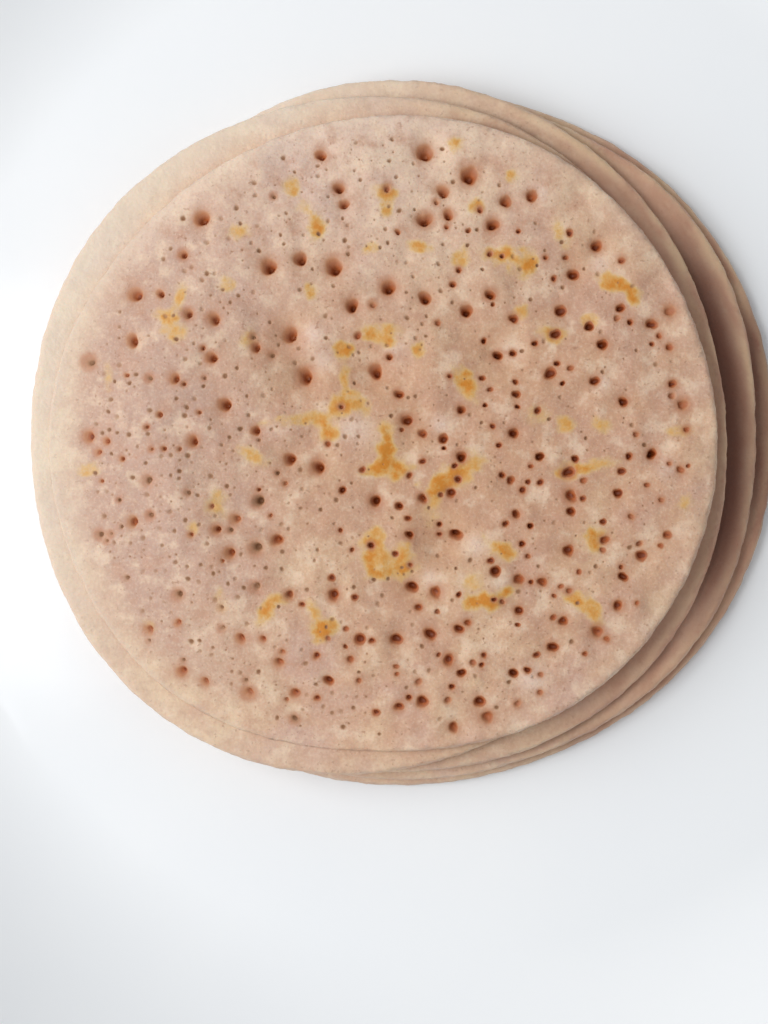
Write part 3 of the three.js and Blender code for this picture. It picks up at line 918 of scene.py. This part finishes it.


# mottled crumb, with yellow patches, browned pits with painted shade in them, a paler rim with painted light,
# painted highlights and painted crevice shade, all from the piece's own attributes
def skinMaterial():
    material, tree, shader, where = newMaterial("buckwheatSkin")
    shades = {name: tone(*rgb) for name, rgb in skin.items()}
    broad = noiseNode(tree, where, 15, 3, 0.55, 0.4)
    crumb = [(0.34, shades["mauve"]), (0.5, shades["tan"]), (0.66, shades["cream"])]
    colour = colourRamp(tree, broad, crumb)
    # the top's brown middle, painted light and highlights, and a lilac tone on the left
    for name, most in (("brown", 0.56), ("paintedLight", 0.7), ("lilac", 0.85)):
        colour = attributeTint(tree, colour, name, most, shades[name])

    # darker and lighter noise of three sizes: where each is full, and the most of each
    blotch = noiseNode(tree, where, 4.2, 3, 0.55)
    mottle = noiseNode(tree, where, 1.5, 2, 0.5)
    grain = noiseNode(tree, where, 0.5, 2, 0.5)
    patterns = [(blotch, 0.3, 0.6, 0.7, 0.6), (mottle, 0.75, 0.24, 0.25, 0.22), (grain, 0.7, 0.26, 0.3, 0.22)]
    for noise, darkFull, darkMost, lightFull, lightMost in patterns:
        colour = rangeTint(tree, colour, noise, 0.5, darkFull, darkMost, shades["dusk"])
        colour = rangeTint(tree, colour, noise, 0.5, lightFull, lightMost, shades["light"])
    flecks = noiseNode(tree, where, 0.8, 2, 0.5)
    colour = rangeTint(tree, colour, flecks, 0.62, 0.74, 0.55, shades["fleck"])

    # rims and edges, with painted light and painted shade
    for name, most in (("paleRimAndLight", 0.75), ("lip", 0.5)):
        colour = attributeTint(tree, colour, name, most, shades[name])
    # painted warm shade on the shady side of the lower pancakes
    paintedWarmShade = attributeValue(tree, "paintedWarmShade")
    paintedShadeBlush = colourRamp(tree, paintedWarmShade, [(0.4, shades["paintedShadeBlush"]), (1.0, shades["paintedWarmShade"])])
    colour = rangeTint(tree, colour, paintedWarmShade, 0.0, 0.5, 0.65, paintedShadeBlush)
    # red-brown bands, and tan bands that are partly painted light on the strips' outer rims
    for name, most in (("brownBand", 0.3), ("tanBandRimLight", 0.75)):
        colour = attributeTint(tree, colour, name, most, shades[name])
    colour = attributeTint(tree, colour, "sag", 0.25, shades["pitWarm"])

    # yellow batter, broken up by clumps
    clumps = rangeNode(tree, noiseNode(tree, where, 1.8, 3, 0.6), 0.3, 0.7, 0.6, 1.35)
    yellow = mathNode(tree, "MULTIPLY", attributeValue(tree, "yellow"), clumps)
    batter = [(0.18, shades["yellowPale"]), (0.55, shades["yellowDeep"]), (0.85, shades["amber"])]
    colour = rangeTint(tree, colour, yellow, 0.03, 0.5, 0.95, colourRamp(tree, yellow, batter))

    # pits, from the halo round them to the core with its painted shade, and painted crevice shade under the
    # edge above
    colour = rangeTint(tree, colour, attributeValue(tree, "halo"), 0.0, 1.0, 0.75, shades["halo"])
    # painted shade in the crevices under the edge above
    colour = attributeTint(tree, colour, "creviceShade", 0.9, shades["creviceShade"])
    pore = attributeValue(tree, "pore")
    poreStops = [(0.35, shades["pore"]), (0.85, shades["poreCore"])]
    colour = rangeTint(tree, colour, pore, 0.0, 0.7, 1.0, colourRamp(tree, pore, poreStops))
    # how dark each pit is: browned crumb in its walls, and painted shade down its shaft and on its floor
    dark = attributeValue(tree, "pitBrownAndShade")
    pitStops = [(0.09, shades["pitWarm"]), (0.44, shades["pitWall"]), (0.74, shades["pitDeep"])]
    pitStops += [(0.88, shades["pitCore"]), (1.0, shades["pitNight"])]
    colour = rangeTint(tree, colour, dark, 0.0, 0.35, 1.0, colourRamp(tree, dark, pitStops))
    toasted = rangeNode(tree, noiseNode(tree, where, 6, 4, 0.6), 0.35, 0.65)
    colour = attributeTint(tree, colour, "under", toasted, shades["toasted"])
    tree.links.new(colour, shader.inputs["Base Color"])

    tree.links.new(rangeNode(tree, blotch, 0.3, 0.7, 0.42, 0.6), shader.inputs["Roughness"])
    dimples = mathNode(tree, "MULTIPLY", noiseNode(tree, where, 2.4, 3, 0.55), 2.0)
    bumpNormal(tree, shader, mathNode(tree, "ADD", flecks, dimples), 0.3, 0.3)
    shader.inputs["Specular IOR Level"].default_value = 0.25
    shader.inputs["Subsurface Weight"].default_value = 0.12
    shader.inputs["Subsurface Radius"].default_value = (0.9, 0.4, 0.2)
    shader.inputs["Subsurface Scale"].default_value = 0.001
    return material


# the lower pancakes have a few small pits near the edge, the top one all of its pits, with the skin sunk
# round the wide and the plain ones
def buildStack():
    material = skinMaterial()
    rng = np.random.default_rng(11)
    for level, pancake in enumerate(pancakes[:-1]):
        edge = scatterPits([], scatter["edge"], pancake["radius"] * 0.93, rng)
        edge = [pit for pit in edge if np.hypot(pit[0], pit[1]) > scatter["edgeFrom"]]
        buildPancake(pancake, level, {"small": edge}, [], material)
    pits = topPits(rng)
    dents = hollows + [(x, y, 1.9 * mouth, 0.36 * mouth) for x, y, mouth in pits["wide"]]
    dents += [(x, y, 2.0 * mouth, 0.24 * mouth) for x, y, mouth in pits["plain"]]
    buildPancake(pancakes[-1], len(pancakes) - 1, pits, dents, material)


buildStack()
print("stack built")


# Studio: pale floor, soft light from the left, camera straight above

studio = {
    "floorTone": (214, 214, 212),
    "floorCloud": (222, 222, 221),
    "floorHalf": 20000.0,
    "roomColour": (0.95, 0.98, 1.0, 1),
    "roomStrength": 0.425,
    "cameraOver": (-13.3, -14.1),
    "cameraAbove": 400.0,
    "viewHeight": 196.1,
    "sensor": 36.0,
    "topFace": 24.5,
}

softLights = {
    "lightLeft": {
        "place": (-1122, 60, 1019), "target": (-10, 0, 15), "width": 1350, "height": 1350,
        "watts": 19.4, "colour": (1.0, 0.985, 0.965),
    },
    "panelAbove": {
        "place": (-326, -3, 520), "target": (-326, -3, 0), "width": 375, "height": 180,
        "watts": 0.5, "colour": (0.97, 0.98, 1.0),
    },
}


def buildFloor():
    half = studio["floorHalf"]
    points = np.array([[-half, -half, 0], [half, -half, 0], [half, half, 0], [-half, half, 0]])
    material, tree, shader, where = newMaterial("paleFloor")
    clouds = noiseNode(tree, where, 300, 3, 0.5)
    colour = mixColour(tree, clouds, tone(*studio["floorTone"]), tone(*studio["floorCloud"]))
    tree.links.new(colour, shader.inputs["Base Color"])
    shader.inputs["Roughness"].default_value = 0.8
    floor = meshPiece("floor", points, np.array([[0, 1, 2], [0, 2, 3]]), {}, material)


# an area light at a place, turned to face a target, all in millimetres
def buildLight(name, place, target, width, height, watts, colour):
    data = bpy.data.lights.new(name, "AREA")
    data.shape = "RECTANGLE"
    data.size, data.size_y = width * mm, height * mm
    data.energy = watts
    data.color = colour
    light = bpy.data.objects.new(name, data)
    bpy.context.scene.collection.objects.link(light)
    aim = Vector(target) - Vector(place)
    light.rotation_euler = aim.to_track_quat("-Z", "Y").to_euler()
    light.location = Vector(place) * mm


def buildStudio():
    buildFloor()
    for name, light in softLights.items():
        buildLight(name, **light)
    world = bpy.data.worlds.new("softRoom")
    world.use_nodes = True
    background = world.node_tree.nodes["Background"]
    background.inputs["Color"].default_value = studio["roomColour"]
    background.inputs["Strength"].default_value = studio["roomStrength"]
    bpy.context.scene.world = world
    bpy.context.scene.view_settings.view_transform = "Standard"


# the camera looks straight down, and its lens takes in the view's height at the top pancake's face
def buildCamera():
    data = bpy.data.cameras.new("cameraAbove")
    data.sensor_width = studio["sensor"]
    data.lens = studio["sensor"] * studio["cameraAbove"] / studio["viewHeight"]
    camera = bpy.data.objects.new("cameraAbove", data)
    bpy.context.scene.collection.objects.link(camera)
    x, y = studio["cameraOver"]
    camera.location = (x * mm, y * mm, (studio["topFace"] + studio["cameraAbove"]) * mm)
    bpy.context.scene.camera = camera


buildStudio()
buildCamera()
print("studio ready")
